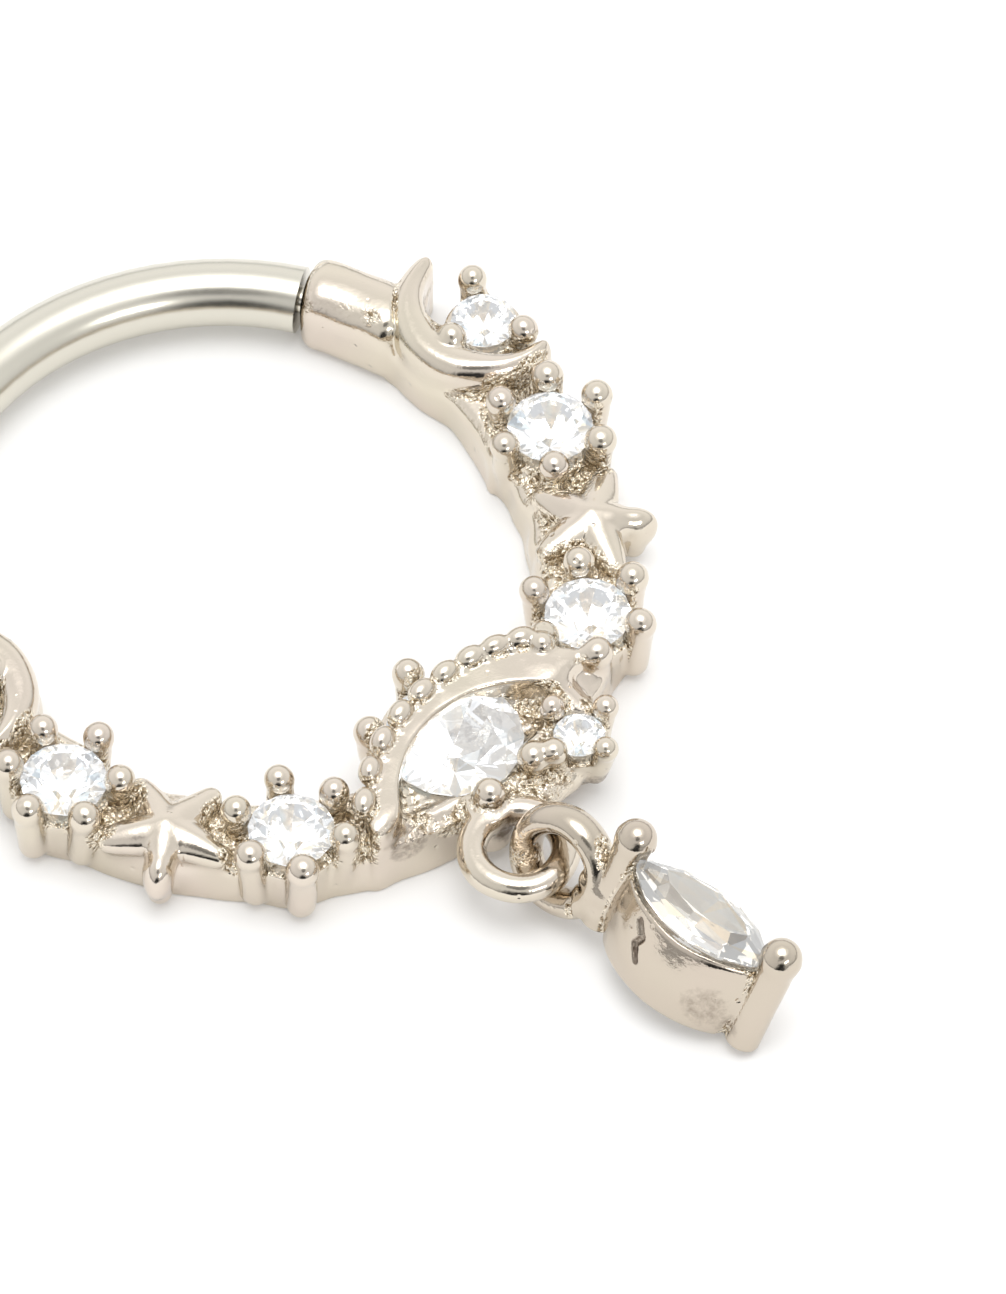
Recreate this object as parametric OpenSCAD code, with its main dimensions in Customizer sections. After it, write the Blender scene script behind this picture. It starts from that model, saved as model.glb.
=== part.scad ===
// A hinged clicker ring for a piercing: a plain curved bar that swings on a cast front of two moons, two stars
// and set stones, with a marquise drop lying on its loop.
// Millimetres. The ring lies on its back on the plane z = 0, its face is +Z, and the drop points towards -Y.
// The origin is the centre of the bar's circle. Row angles are measured from -Y, positive towards +X.

/* [Bar] */
// Diameter of the bar's round wire
bar_d = 1.2; // [1.1:0.05:1.25]
// Radius of the bar's centre line
ring_r = 5.43; // [5.4:0.01:5.5]
// Height of the bar's centre line above the surface it lies on
bar_z = 0.75; // [0.7:0.01:0.8]
// Angle from +X at which the bar's free end meets the socket
bar_start = 33.3; // [33:0.1:36]
// Angle from +X at which the bar's round wire ends before the hinge
bar_end = 146; // [143:0.5:146]

/* [Hinge and socket] */
// Width of the socket and the hinge block across the ring
block_w = 1.35; // [1.3:0.01:1.4]
// Height of the socket and the hinge block
block_h = 1.5; // [1.45:0.01:1.55]
// Radius of their rounded corners
block_round = 0.32; // [0.2:0.01:0.4]
// Radius of the circle along which they run
block_r = 5.5; // [5.48:0.01:5.52]
// Angle from +X at which the socket's open end stands
socket_end = 32.6; // [32:0.1:32.7]
// Angle from +X of the hinge pin
hinge_at = 154; // [154:0.1:155]
// Diameter of the hinge pin
pin_d = 0.45; // [0.4:0.01:0.5]
// Running clearance round the hinge pin
pin_gap = 0.025; // [0.015:0.005:0.05]
// Thickness of the bar's flat knuckle
knuckle_t = 0.5; // [0.4:0.05:0.5]
// Clearance above and below the knuckle
knuckle_gap = 0.04; // [0.03:0.01:0.06]

/* [Row] */
// How far the decorated row's circle is set out from the bar's circle
row_out = 1.114; // [1.1:0.001:1.13]
// Radius on which the round stones sit
row_r = 5.82; // [5.8:0.01:5.85]
// Inner radius of the rail that carries the row
rail_in = 4.72; // [4.6:0.01:4.8]
// Outer radius of that rail
rail_out = 6.28; // [6.2:0.01:6.35]
// Height of the rail
rail_h = 0.8; // [0.7:0.05:0.9]

/* [Round stones] */
// Diameter of the four round stones in the row
row_stone_d = 1.5; // [1.4:0.05:1.5]
// Diameter of the stone in each moon
moon_stone_d = 1.15; // [1.1:0.05:1.2]
// Diameter of the stone in the eye
eye_stone_d = 2.42; // [2.3:0.01:2.45]
// Diameter of the small stone beside the eye
side_stone_d = 0.9; // [0.8:0.05:0.9]
// Clearance between each stone and its metal
stone_gap = 0.04; // [0.03:0.01:0.06]

/* [Moons and stars] */
// Radius of a moon's outer edge
moon_r = 1.58; // [1.5:0.01:1.6]
// Radius of a moon's inner edge
moon_inner_r = 1.26; // [1.2:0.01:1.3]
// Height of a moon's face
moon_h = 1.5; // [1.4:0.05:1.6]
// Radius of a star's tips
star_r = 1.26; // [1.1:0.01:1.3]
// Radius of its tip that points out of the ring
star_toe_r = 1.04; // [1:0.01:1.2]
// Radius of the notches between them
star_notch_r = 0.5; // [0.4:0.01:0.6]
// Height of a star's centre
star_h = 1.42; // [1.3:0.01:1.5]

/* [Eye] */
// Height of the beaded upper lid
lid_h = 1.72; // [1.7:0.01:1.8]
// Diameter of the beads along it
bead_d = 0.42; // [0.35:0.01:0.5]
// Number of beads
bead_count = 11; // [9:1:12]

/* [Drop] */
// Radius of the centre line of the loop cast on the ring
fixed_loop_r = 0.8; // [0.78:0.01:0.84]
// Wire diameter of that loop
fixed_loop_wire = 0.48; // [0.4:0.01:0.5]
// Radius of the centre line of the drop's own loop
drop_loop_r = 0.78; // [0.76:0.01:0.82]
// Wire diameter of the drop's own loop
drop_loop_wire = 0.48; // [0.4:0.01:0.5]
// Distance between the drop's two prongs
drop_span = 3.36; // [3.2:0.01:3.4]
// Height of the drop's prongs from foot to ball
drop_prong_h = 2.04; // [2:0.01:2.1]
// Length of the marquise stone
marquise_l = 3; // [2.8:0.05:3]
// Width of the marquise stone
marquise_w = 1.58; // [1.4:0.01:1.6]

/* [Hidden] */

CAST = "#d3ccc1";
WIRE = "#cdcac4";
STONE = "#e6eff5";
$fn = 48;
eps = 0.01;

// Round stones in the row. Columns: row angle, turn of the prongs.
ROW_STONES = [[77.75, -8], [36.46, -3], [-36.46, 1], [-77.75, 10]];
ROW_ANGLE = 0;
ROW_TURN = 1;
row_girdle_z = 1.3;

// Where a prong's ball stands past the stone's edge, its height over the girdle, and its sizes
prong_out = 0.25;
prong_over = 0.2;
prong_ball_r = 0.27;
prong_wire_r = 0.25;
prong_lean = 5;
foot_z = 0.05;

// Moon on the +X side: centres of its outer and inner edges, and its stone
moon_at = [6.45, 0.4];
moon_inner_at = [6.85, 0.42];
moon_chamfer = 0.2;
moon_bevel = 0.14;
moon_turn = 7;
moon_tip_x = 6.74;
moon_stone_at = [6.42, 0.23];
moon_girdle_z = 1.2;
MOON_PRONGS = [62, 180, -68];

// How much nearer to the ring's centre the moon on the -X side stands, with its stone
moon_2_in = 0.5;

// Star on the +X side
star_at = [4.97, -4.23];
star_turn = 34;
star_toe = 4;
star_tip_z = 1.1;
star_notch_z = 0.9;

// Rail that leads from the row up to the socket and the hinge
arm_in = 4.98;
arm_out = 6.12;
arm_h = 0.9;
arm_from = -24;
arm_to = 18;
row_half = 79;

// Eye: the stone, the lid's two arcs, and the row of beads, whose spacing grows from its first bead
eye_at = [0, -6.15];
eye_girdle_z = 1.16;
EYE_PRONGS = [81, 131, 254, 297];
lid_at = [0.15, -7.9];
lid_r = 2.79;
lid_inner_at = [0.04, -8.05];
lid_inner_r = 2.25;
lid_end_y = -6.85;
bead_line_r = 2.747;
bead_z = 1.65;
bead_first = 35.6;
bead_step = 7.5;
bead_growth = 0.376;
lower_lid_half = 25;
lower_lid_w = 0.36;
lower_lid_h = 1.05;

// Small stone beside the eye
side_at = [1.63, -7.6];
side_girdle_z = 1.25;
side_turn = 4;
side_ball_r = 0.21;

// Loop cast on the ring, and the drop's place: the centre of its own loop, and its turn
fixed_loop_at = [-0.66, -8.57, 1];
lug_at = [-0.5, -7.62];
drop_at = [-0.33, -9.37, 1.19];
drop_turn = [7.3, 22.6, 9];

// Drop, in its own frame: the loop's centre is the origin, the stone's face is +Z, and the drop runs to -Y
drop_neck = 1.04;
drop_ball_z = 1.44;
drop_ball_r = 0.35;
drop_prong_r = 0.3;
drop_girdle_z = 1.07;
basket_l = 3.2;
basket_w = 1.72;
basket_wall = 0.16;
basket_bottom_z = -0.5;
basket_top_z = 0.98;
drop_mid_y = -drop_neck - drop_span / 2;

function polar(r, a) = [r * cos(a), r * sin(a)];
function row_place(a) = [row_r * sin(a), -row_out - row_r * cos(a)];
function row_stone_at(i) = row_place(ROW_STONES[i][ROW_ANGLE]);
function moon_2_stone_at() = [moon_2_in - moon_stone_at[0], moon_stone_at[1]];
function crown_h(d) = 0.13 * d + 0.02;
function pavilion_h(d) = 0.42 * d;
function bead_angle(i) = bead_first + bead_step * i + bead_growth * i * i;

// Points of an arc round p, from angle a through a quarter turn
function quarter(p, r, a, n = 4) = [for (k = [0:n]) p + polar(r, a + 90 * k / n)];

// Rectangle w wide and h high that stands on the axis, and its right half, with corners rounded to r
function rounded_half(w, h, r) = concat(quarter([w / 2 - r, r], r, -90), quarter([w / 2 - r, h - r], r, 0));
function rounded_rect(w, h, r) = concat(
    rounded_half(w, h, r), quarter([r - w / 2, h - r], r, 90), quarter([r - w / 2, r], r, 180));

// Outline of a pointed oval made of two equal arcs, its long axis along Y
function oval_arc_r(l, w) = (l * l + w * w) / (4 * w);
function oval_side(l, w, side, n = 6) =
    let (r = oval_arc_r(l, w), half = asin(l / 2 / r))
    [for (k = [0:n - 1])
        let (a = (side < 0 ? 180 : 0) - half + 2 * half * k / n)
        polar(r, a) - [side * (r - w / 2), 0]];
function pointed_oval(l, w) = concat(oval_side(l, w, 1), oval_side(l, w, -1));

// A solid between rings of points, each ring listed from below, with flat ends
module ring_solid(rings) {
    n = len(rings[0]);
    last = len(rings) - 1;
    points = [for (ring = rings) each ring];
    faces = concat(
        [[for (i = [0:n - 1]) i]],
        [for (k = [0:last - 1]) for (i = [0:n - 1])
            each [[k * n + i, (k + 1) * n + i, (k + 1) * n + (i + 1) % n],
                  [k * n + i, (k + 1) * n + (i + 1) % n, k * n + (i + 1) % n]]],
        [[for (i = [n - 1:-1:0]) last * n + i]]);
    polyhedron(points, faces);
}

// Round brilliant: flat table, sixteen crown and sixteen pavilion facets. Its girdle is at z = 0.
module brilliant(d) {
    sides = 16;
    function level(r, z) = [for (k = [0:sides - 1]) concat(polar(r, 360 * k / sides), z)];
    color(STONE) ring_solid([
        level(0.03 * d, -pavilion_h(d)),
        level(0.49 * d, -0.03 * d),
        level(0.5 * d, 0),
        level(0.28 * d, crown_h(d))]);
}

// The room that a round stone takes in its metal
module brilliant_room(d) {
    g = stone_gap;
    rotate_extrude()
        polygon([[0, -pavilion_h(d) - 2 * g], [d / 2 + g, -0.03 * d - g], [d / 2 + g, g],
                 [0.28 * d + 1.5 * g, crown_h(d) + g], [0, crown_h(d) + g]]);
}

// A prong whose ball is at the origin. It leans out along +X and reaches down by h.
module prong(h, ball_r, wire_r) {
    sphere(ball_r);
    rotate([0, prong_lean, 0])
        translate([0, 0, -h])
            cylinder(h = h, r1 = wire_r * 0.94, r2 = wire_r);
}

// Prongs round a stone of diameter d, one at each of the given angles
module prongs(d, girdle_z, angles, ball_r = prong_ball_r, wire_r = prong_wire_r, out = prong_out) {
    ball_z = girdle_z + prong_over;
    for (a = angles)
        rotate([0, 0, a])
            translate([d / 2 + out, 0, ball_z])
                prong((ball_z - foot_z) / cos(prong_lean), ball_r, wire_r);
}

// A band of rectangular section with bevelled top edges, round the origin, from angle a by sweep
module band(r_in, r_out, h, a, sweep, bevel = 0.2) {
    rotate([0, 0, a])
        rotate_extrude(angle = sweep)
            polygon([[r_in, 0], [r_out, 0], [r_out, h - bevel], [r_out - bevel, h],
                     [r_in + bevel, h], [r_in, h - bevel]]);
}

// Rounded block that runs along the ring between two angles
module block_arc(a, b) {
    rotate([0, 0, a])
        rotate_extrude(angle = b - a)
            translate([block_r, 0])
                polygon(rounded_rect(block_w, block_h, block_round));
}

module row_rail() {
    translate([0, -row_out])
        band(rail_in, rail_out, rail_h, -90 - row_half, 2 * row_half);
}

module arm() {
    translate([0, 0, eps])
        band(arm_in, arm_out, arm_h, arm_from, arm_to - arm_from);
}

module moon() {
    wall_h = moon_h - moon_chamfer;
    translate([0, 0, 2 * eps])
        difference() {
            translate(moon_at)
                rotate_extrude($fn = 64)
                    polygon([[0, 0], [moon_r, 0], [moon_r, wall_h], [moon_r - moon_bevel, moon_h], [0, moon_h]]);
            translate(moon_inner_at)
                rotate_extrude($fn = 64)
                    polygon([[0, -1], [moon_inner_r, -1], [moon_inner_r, wall_h],
                             [moon_inner_r + 2 * moon_bevel, moon_h + moon_chamfer], [0, moon_h + moon_chamfer]]);
            rotate([0, 0, moon_turn])
                translate([moon_tip_x, -3, -1])
                    cube([3, 6, 4]);
        }
}

module moon_setting() {
    translate(moon_stone_at) {
        translate([0, 0, 3 * eps])
            cylinder(h = 1, r1 = 0.62, r2 = 0.7);
        prongs(moon_stone_d, moon_girdle_z, MOON_PRONGS, out = 0.2);
    }
}

// Five-pointed star with blunt tips and a ridge along each arm
module star() {
    function arm_points(r) = [[star_notch_r, -36, star_notch_z], [r - 0.08, -8, star_notch_z + 0.06],
                              [r, 0, star_tip_z], [r - 0.08, 8, star_notch_z + 0.06]];
    edge = [for (arm = [0:4]) for (p = arm_points(arm == star_toe ? star_toe_r : star_r))
        concat(polar(p[0], star_turn + 72 * arm + p[1]), p[2])];
    base = [for (p = edge) [p[0], p[1], 3 * eps]];
    n = len(edge);
    translate(star_at)
        polyhedron(
            concat(base, edge, [[0, 0, star_h], [0, 0, 3 * eps]]),
            [for (k = [0:n - 1])
                let (next = (k + 1) % n)
                each [[k, next, 2 * n + 1], [k, k + n, next + n, next], [k + n, 2 * n, next + n]]]);
}

module row_setting(i) {
    translate(row_stone_at(i)) {
        translate([0, 0, 2 * eps])
            cylinder(h = 1.05, r1 = 0.78, r2 = 0.86);
        prongs(row_stone_d, row_girdle_z, [for (k = [0:5]) ROW_STONES[i][ROW_TURN] + 60 * k]);
    }
}

module lid() {
    difference() {
        translate(lid_at)
            translate([0, 0, eps])
                cylinder(h = lid_h - eps, r = lid_r, $fn = 96);
        translate(lid_inner_at)
            translate([0, 0, -1])
                cylinder(h = lid_h + 2, r = lid_inner_r);
        translate([-4, lid_end_y - 8, -1])
            cube([8, 8, lid_h + 2]);
    }
    for (i = [0:bead_count - 1])
        translate(lid_at)
            rotate([0, 0, bead_angle(i)])
                translate([bead_line_r, 0, bead_z])
                    sphere(d = bead_d);
}

module lower_lid() {
    translate([0, -row_out, 2 * eps])
        band(rail_out - lower_lid_w, rail_out + 0.1, lower_lid_h, -90 - lower_lid_half, 2 * lower_lid_half, 0.1);
}

module eye() {
    translate(eye_at) {
        translate([0, 0, 3 * eps])
            cylinder(h = 1, r1 = 1.28, r2 = 1.46);
        prongs(eye_stone_d, eye_girdle_z, EYE_PRONGS);
    }
    lid();
    lower_lid();
}

module side_setting() {
    translate(side_at) {
        translate([0, 0, 0.2])
            cylinder(h = 0.85, r1 = 0.36, r2 = 0.56);
        translate([0, 0, 0.12])
            prongs(side_stone_d, side_girdle_z - 0.12, [for (k = [0:3]) side_turn + 90 * k],
                   side_ball_r, 0.18, 0.2);
    }
}

module fixed_loop() {
    translate(fixed_loop_at)
        rotate_extrude()
            translate([fixed_loop_r, 0])
                circle(d = fixed_loop_wire);
    translate(lug_at)
        translate([0, 0, 0.3])
            cylinder(h = 0.92, r = 0.42);
}

// Socket with a recess that the bar's tongue slides out of as the bar swings
module socket() {
    difference() {
        block_arc(arm_to - 2, socket_end);
        rotate([0, 0, socket_end])
            translate([ring_r - 0.3, -0.5, bar_z - 0.3])
                cube([0.85, 1, 0.6]);
    }
}

// Forked block that holds the bar's knuckle on the hinge pin
module hinge_block() {
    cheek_r = block_w / 2 + 0.03;
    cheek_h = block_h - 4 * eps;
    slot = knuckle_t + 2 * knuckle_gap;
    difference() {
        union() {
            block_arc(hinge_at + 1, 182 - arm_to);
            at_hinge()
                translate([0, 0, 2 * eps])
                    rotate_extrude()
                        polygon(concat([[0, 0]], rounded_half(2 * cheek_r, cheek_h, block_round), [[0, cheek_h]]));
        }
        at_hinge()
            translate([-2, -0.62, bar_z - slot / 2])
                cube([4, 3, slot]);
        at_hinge()
            translate([0, 0, -1])
                cylinder(h = block_h + 2, d = pin_d + 2 * pin_gap);
    }
}

// Places its children at the hinge pin, with +Y towards the bar
module at_hinge() {
    translate(polar(block_r, hinge_at))
        rotate([0, 0, bar_end - 180])
            children();
}

module stone_rooms() {
    for (i = [0:3])
        translate(concat(row_stone_at(i), row_girdle_z))
            brilliant_room(row_stone_d);
    for (p = [moon_stone_at, moon_2_stone_at()])
        translate(concat(p, moon_girdle_z))
            brilliant_room(moon_stone_d);
    translate(concat(eye_at, eye_girdle_z))
        brilliant_room(eye_stone_d);
    translate(concat(side_at, side_girdle_z))
        brilliant_room(side_stone_d);
}

module cast_front() {
    color(CAST) difference() {
        union() {
            row_rail();
            socket();
            hinge_block();
            for (side = [0, 1])
                mirror([side, 0, 0]) {
                    arm();
                    translate([-side * moon_2_in, 0]) {
                        moon();
                        moon_setting();
                    }
                    star();
                }
            for (i = [0:3])
                row_setting(i);
            eye();
            side_setting();
            fixed_loop();
        }
        stone_rooms();
    }
}

module bar() {
    color(WIRE) difference() {
        union() {
            translate([0, 0, bar_z])
                rotate([0, 0, bar_start])
                    rotate_extrude(angle = bar_end - bar_start)
                        translate([ring_r, 0])
                            circle(d = bar_d);
            rotate([0, 0, bar_start])
                translate([ring_r, 0.2, bar_z])
                    rotate([90, 0, 0])
                        cylinder(h = 0.55, d1 = 0.5, d2 = 0.4);
            at_hinge()
                translate([0, 0, bar_z - knuckle_t / 2]) {
                    cylinder(h = knuckle_t, r = 0.52);
                    translate([-0.5, 0, 0])
                        cube([1, 1.1, knuckle_t]);
                }
        }
        at_hinge()
            translate([0, 0, -1])
                cylinder(h = block_h + 2, d = pin_d + 2 * pin_gap);
    }
}

module hinge_pin() {
    color(WIRE) at_hinge()
        translate([0, 0, 0.04])
            cylinder(h = block_h - 0.08, d = pin_d);
}

module row_stone(i) {
    translate(concat(row_stone_at(i), row_girdle_z))
        brilliant(row_stone_d);
}

module moon_stone(at) {
    translate(concat(at, moon_girdle_z))
        brilliant(moon_stone_d);
}

module eye_stone() {
    translate(concat(eye_at, eye_girdle_z))
        brilliant(eye_stone_d);
}

module side_stone() {
    translate(concat(side_at, side_girdle_z))
        brilliant(side_stone_d);
}

// Places its children as the drop lies
module at_drop() {
    translate(drop_at)
        rotate(drop_turn)
            children();
}

// A pointed-oval prism in the drop's frame, from z0 to z1
module oval_prism(l, w, z0, z1) {
    translate([0, drop_mid_y, z0])
        linear_extrude(z1 - z0)
            polygon(pointed_oval(l, w));
}

module drop_prong(y) {
    translate([0, y, drop_ball_z]) {
        sphere(drop_ball_r);
        translate([0, 0, -drop_prong_h])
            cylinder(h = drop_prong_h, r1 = drop_prong_r - 0.02, r2 = drop_prong_r);
    }
}

// Levels of the marquise stone, each a pointed oval scaled about its middle
module marquise(grow = 0) {
    l = marquise_l + 2 * grow;
    w = marquise_w + 2 * grow;
    function level(s, z) = [for (p = pointed_oval(l * s, w * s)) [p[0], p[1] + drop_mid_y, z + drop_girdle_z]];
    ring_solid([level(0.12, -0.62 - grow), level(0.97, -0.05 - grow), level(1, grow), level(0.6, 0.24 + grow)]);
}

module drop_setting() {
    color(CAST) at_drop() difference() {
        union() {
            rotate([0, 90, 0])
                rotate_extrude()
                    translate([drop_loop_r, 0])
                        circle(d = drop_loop_wire);
            oval_prism(basket_l, basket_w, basket_bottom_z, basket_top_z);
            drop_prong(-drop_neck);
            drop_prong(-drop_neck - drop_span);
        }
        oval_prism(basket_l - 4 * basket_wall, basket_w - 2 * basket_wall, basket_bottom_z - 1, basket_top_z + 1);
        marquise(stone_gap);
    }
}

module drop_stone() {
    color(STONE) at_drop() marquise();
}

cast_front();
bar();
hinge_pin();
row_stone(0);  // row_stone_1
row_stone(1);  // row_stone_2
row_stone(2);  // row_stone_3
row_stone(3);  // row_stone_4
moon_stone(moon_stone_at);  // moon_stone_1
moon_stone(moon_2_stone_at());  // moon_stone_2
eye_stone();
side_stone();
drop_setting();
drop_stone();
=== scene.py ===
"""Looks of a hinged clicker ring: its cast front of moons, stars and an eye, its cut stones and its drop."""
import itertools
import math

import bpy
import numpy as np
from mathutils import Euler, Matrix, Vector


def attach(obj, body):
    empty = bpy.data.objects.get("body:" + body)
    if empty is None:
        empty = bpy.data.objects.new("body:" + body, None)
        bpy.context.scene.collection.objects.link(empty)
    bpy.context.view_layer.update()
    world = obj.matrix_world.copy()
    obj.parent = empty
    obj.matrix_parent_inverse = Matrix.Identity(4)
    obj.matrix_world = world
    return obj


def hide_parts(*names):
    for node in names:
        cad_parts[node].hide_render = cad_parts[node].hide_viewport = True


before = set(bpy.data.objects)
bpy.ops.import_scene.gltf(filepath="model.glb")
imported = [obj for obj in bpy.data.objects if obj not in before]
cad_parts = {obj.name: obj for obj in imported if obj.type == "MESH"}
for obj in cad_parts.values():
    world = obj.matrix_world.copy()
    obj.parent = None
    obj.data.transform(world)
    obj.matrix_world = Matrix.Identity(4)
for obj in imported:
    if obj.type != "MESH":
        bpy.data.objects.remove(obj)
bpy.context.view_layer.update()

# Millimetres to metres
MM = 0.001

# Row: its circle's offset from the bar's circle, the circle of its stones, and its rail's cross-section
ROW_OUT = 1.114
ROW_R = 5.82
RAIL_IN = 4.72
RAIL_OUT = 6.44
RAIL_H = 0.86
ROW_HALF = 79

# Plain wall of the ring under each moon: inner and outer radius, height, and its angles from +X
MOON_WALL = (4.96, 6.12, 0.95, -24, 12)

# Scoop out of the rail's inner wall beside the moon on the -X side: its angle and distance from the middle
# of the row's circle, and its own radius
SCOOP = (-75, 3.6)
SCOOP_R = 1.4

# Cups under the stones: radius at the foot and at the rim, height of the foot and of the rim
ROW_CUP = (0.8, 0.84, 0.02, 1.02)
MOON_CUP = (0.62, 0.7, 0.03, 1.03)
EYE_CUP = (1.28, 1.36, 0.03, 1.03)
SIDE_CUP = (0.36, 0.56, 0.2, 1.05)

# Prongs: how far the tip's centre stands outside the stone, the tip's radius and the rod's
ROW_PRONG = (0.24, 0.255, 0.25)
ROW_OUTER_PRONG = (0.24, 0.27, 0.265)
MOON_PRONG = (0.2, 0.25, 0.245)
EYE_PRONG = (0.25, 0.27, 0.262)
SIDE_PRONG = (0.2, 0.22, 0.21)

# How far a prong's tip is above the girdle, and how far the jeweller's hand sets it off its place
TIP_UP = 0.2
HAND = 0.012

# Round stones of the row. Columns: angle from -Y towards +X, turn of the prongs.
ROW_STONES = ((77.75, -8), (36.46, -3), (-36.46, 1), (-77.75, 10))
ROW_STONE_D = 1.5
ROW_GIRDLE_Z = 1.3

# Moon on the +X side and the stone in its mouth
MOON_AT = (6.45, 0.4)
MOON_R = 1.58
MOON_INNER_AT = (6.85, 0.42)
MOON_INNER_R = 1.26
MOON_TURN = 7
MOON_TIP = 6.74
MOON_H = 1.52
MOON_FOOT_H = 0.86
MOON_STONE_AT = (6.42, 0.23)
MOON_STONE_D = 1.15
MOON_GIRDLE_Z = 1.2
MOON_PRONGS = (62, 180, -68)

# How much nearer to the ring's centre the moon on the -X side stands, and its stone's place
MOON_2_IN = 0.5
MOON_2_STONE_AT = (MOON_2_IN - MOON_STONE_AT[0], MOON_STONE_AT[1])

# Star on the +X side. Four arms reach STAR_R, and the one that points out of the ring is a tongue that
# hangs down: STAR_SHORT less far out as an arm, with a rounded toe at its end.
STAR_AT = (4.97, -4.23)
STAR_TURN = 34
STAR_R = 1.34
STAR_SHARP_R = 1.85
STAR_NOTCH_R = 0.5
STAR_H = 1.42
STAR_TIP_Z = 1.15
STAR_NOTCH_Z = 1.12
STAR_LEAN = 0.35
STAR_BLUNT = 0.24
STAR_SHORT = 0.75
STAR_TOE = 0.74
STAR_TOE_Z = 0.78
STAR_TOE_R = 0.42
STAR_TOE_STRETCH = (1, 0.62, 1.15)

# Eye: its stone, its lids and the beads along the upper one. LID_END is the Y and the slope of the line where
# the upper lid ends, and LOWER_LID is the lower one's inner and outer radius and its height.
EYE_AT = (0, -6.15)
EYE_STONE_D = 2.42
EYE_GIRDLE_Z = 1.16
EYE_PRONGS = (81, 138, 254, 297)
LID_AT = (0.15, -7.9)
LID_R = 2.92
LID_INNER_AT = (0.04, -8.05)
LID_INNER_R = 2.25
LID_END = (-6.87, 0.09)
LID_H = 1.68
EYE_FLOOR_Z = 1.06
LOWER_LID = (5.72, 6.47, 1.2)
LOWER_LID_HALF = 34
BEAD_COUNT = 9
BEAD_LINE_AT = (0.44, -9.21)
BEAD_LINE_R = 3.94
BEAD_FIRST = 66
BEAD_STEP = 6.6
BEAD_GROWTH = 0.24
BEAD_Z = 1.65
BEAD_R = 0.24
BEAD_STRETCH = (0.9, 1.25, 1.0)
NUB_R = 0.1
NUB_IN = 0.16
LAST_BEAD_AT = (2.26, -5.93)
LAST_BEAD_R = 0.22

# Small stone beside the eye
SIDE_AT = (1.63, -7.6)
SIDE_STONE_D = 0.9
SIDE_GIRDLE_Z = 1.25
SIDE_TURN = 4

# Pit between that stone and the eye's
PIT_AT = (1.48, -6.6, 1.3)
PIT_R = 0.28

# Hinge and socket. The bar's slot is a block about the pin, and its recess a block about the ring's centre,
# each given by its low and high corner before it is turned.
BLOCK_R = 5.5
BLOCK_W = 1.35
BLOCK_H = 1.5
SOCKET_FROM = 11
SOCKET_END = 32.6
HINGE_AT = 154
HINGE_END = 164
HINGE_R = 0.7
HINGE_TURN = -34
BAR_Z = 0.75
PIN_HOLE_R = 0.25
SLOT = ((-2, -0.62), (2, 2.4))
SLOT_H = 0.58
RECESS = ((5.13, -0.5), (5.98, 0.5))
RECESS_H = 0.6

# Loop cast on the ring, and its lug: radius at the foot and at the top, height of the foot and of the top
FIXED_LOOP_AT = (-0.66, -8.57, 1.0)
FIXED_LOOP_R = 0.82
LOOP_WIRE_R = 0.265
LUG_AT = (-0.5, -7.62)
LUG = (0.42, 0.4, 0.3, 1.22)

# Drop, in its own frame: its loop's centre is the origin, and it runs to -Y. Its stone and its basket are
# pointed ovals, given by length and width.
DROP_AT = (-0.33, -9.37, 1.19)
DROP_TURN = (7.3, 22.6, 9)
DROP_LOOP_R = 0.8
DROP_LOOP_FLAT = 1.3
DROP_NECK = 1.04
DROP_NECK_Z = (0.1, -0.3)
DROP_SPAN = 3.36
DROP_BALL_Z = 1.44
DROP_BALL_R = 0.36
DROP_PRONG_R = 0.3
DROP_PRONG_H = 2.04
DROP_GIRDLE_Z = 1.07
MARQUISE = (3.0, 1.58)
BASKET = (3.2, 1.72)
BASKET_WALL = 0.14
BASKET_Z = (-0.68, 1.0)
BASKET_BULGE = 0.08
BASKET_KEEL = 0.5
MARQUISE_GAP = 0.02

CELL = 0.04
DROP_CELL = 0.75 * CELL

# What a casting is thinned to if its skin has more
MOST_TRIANGLES = 190000

# Low and high corner of the wax that each casting is carved from
FRONT_WAX = ((-7.6, -9.9, -0.12), (7.6, 3.6, 2.05))
DROP_WAX = ((-1.05, -5.0, -1.2), (1.05, 1.2, 2.0))

random = np.random.default_rng(11)


def polar(r, a):
    return np.array((r * math.cos(math.radians(a)), r * math.sin(math.radians(a))))


def row_place(a, r=ROW_R):
    return np.array((r * math.sin(math.radians(a)), -ROW_OUT - r * math.cos(math.radians(a))))


# Wax model: signed distances in millimetres on a cubic grid. Forms are fused onto it and cut out of it.

def soft_min(a, b, k):
    h = np.maximum(k - np.abs(a - b), 0) / k
    return np.minimum(a, b) - h * h * k / 4


def soft_max(a, b, k):
    return -soft_min(-a, -b, k)


# How far out from the metal a hollow's shelter is felt, in steps, and how far round a form its distances are
# kept right for that
SHELTER_STEPS = (0.12, 0.25, 0.42)
REACH = 0.45


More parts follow.
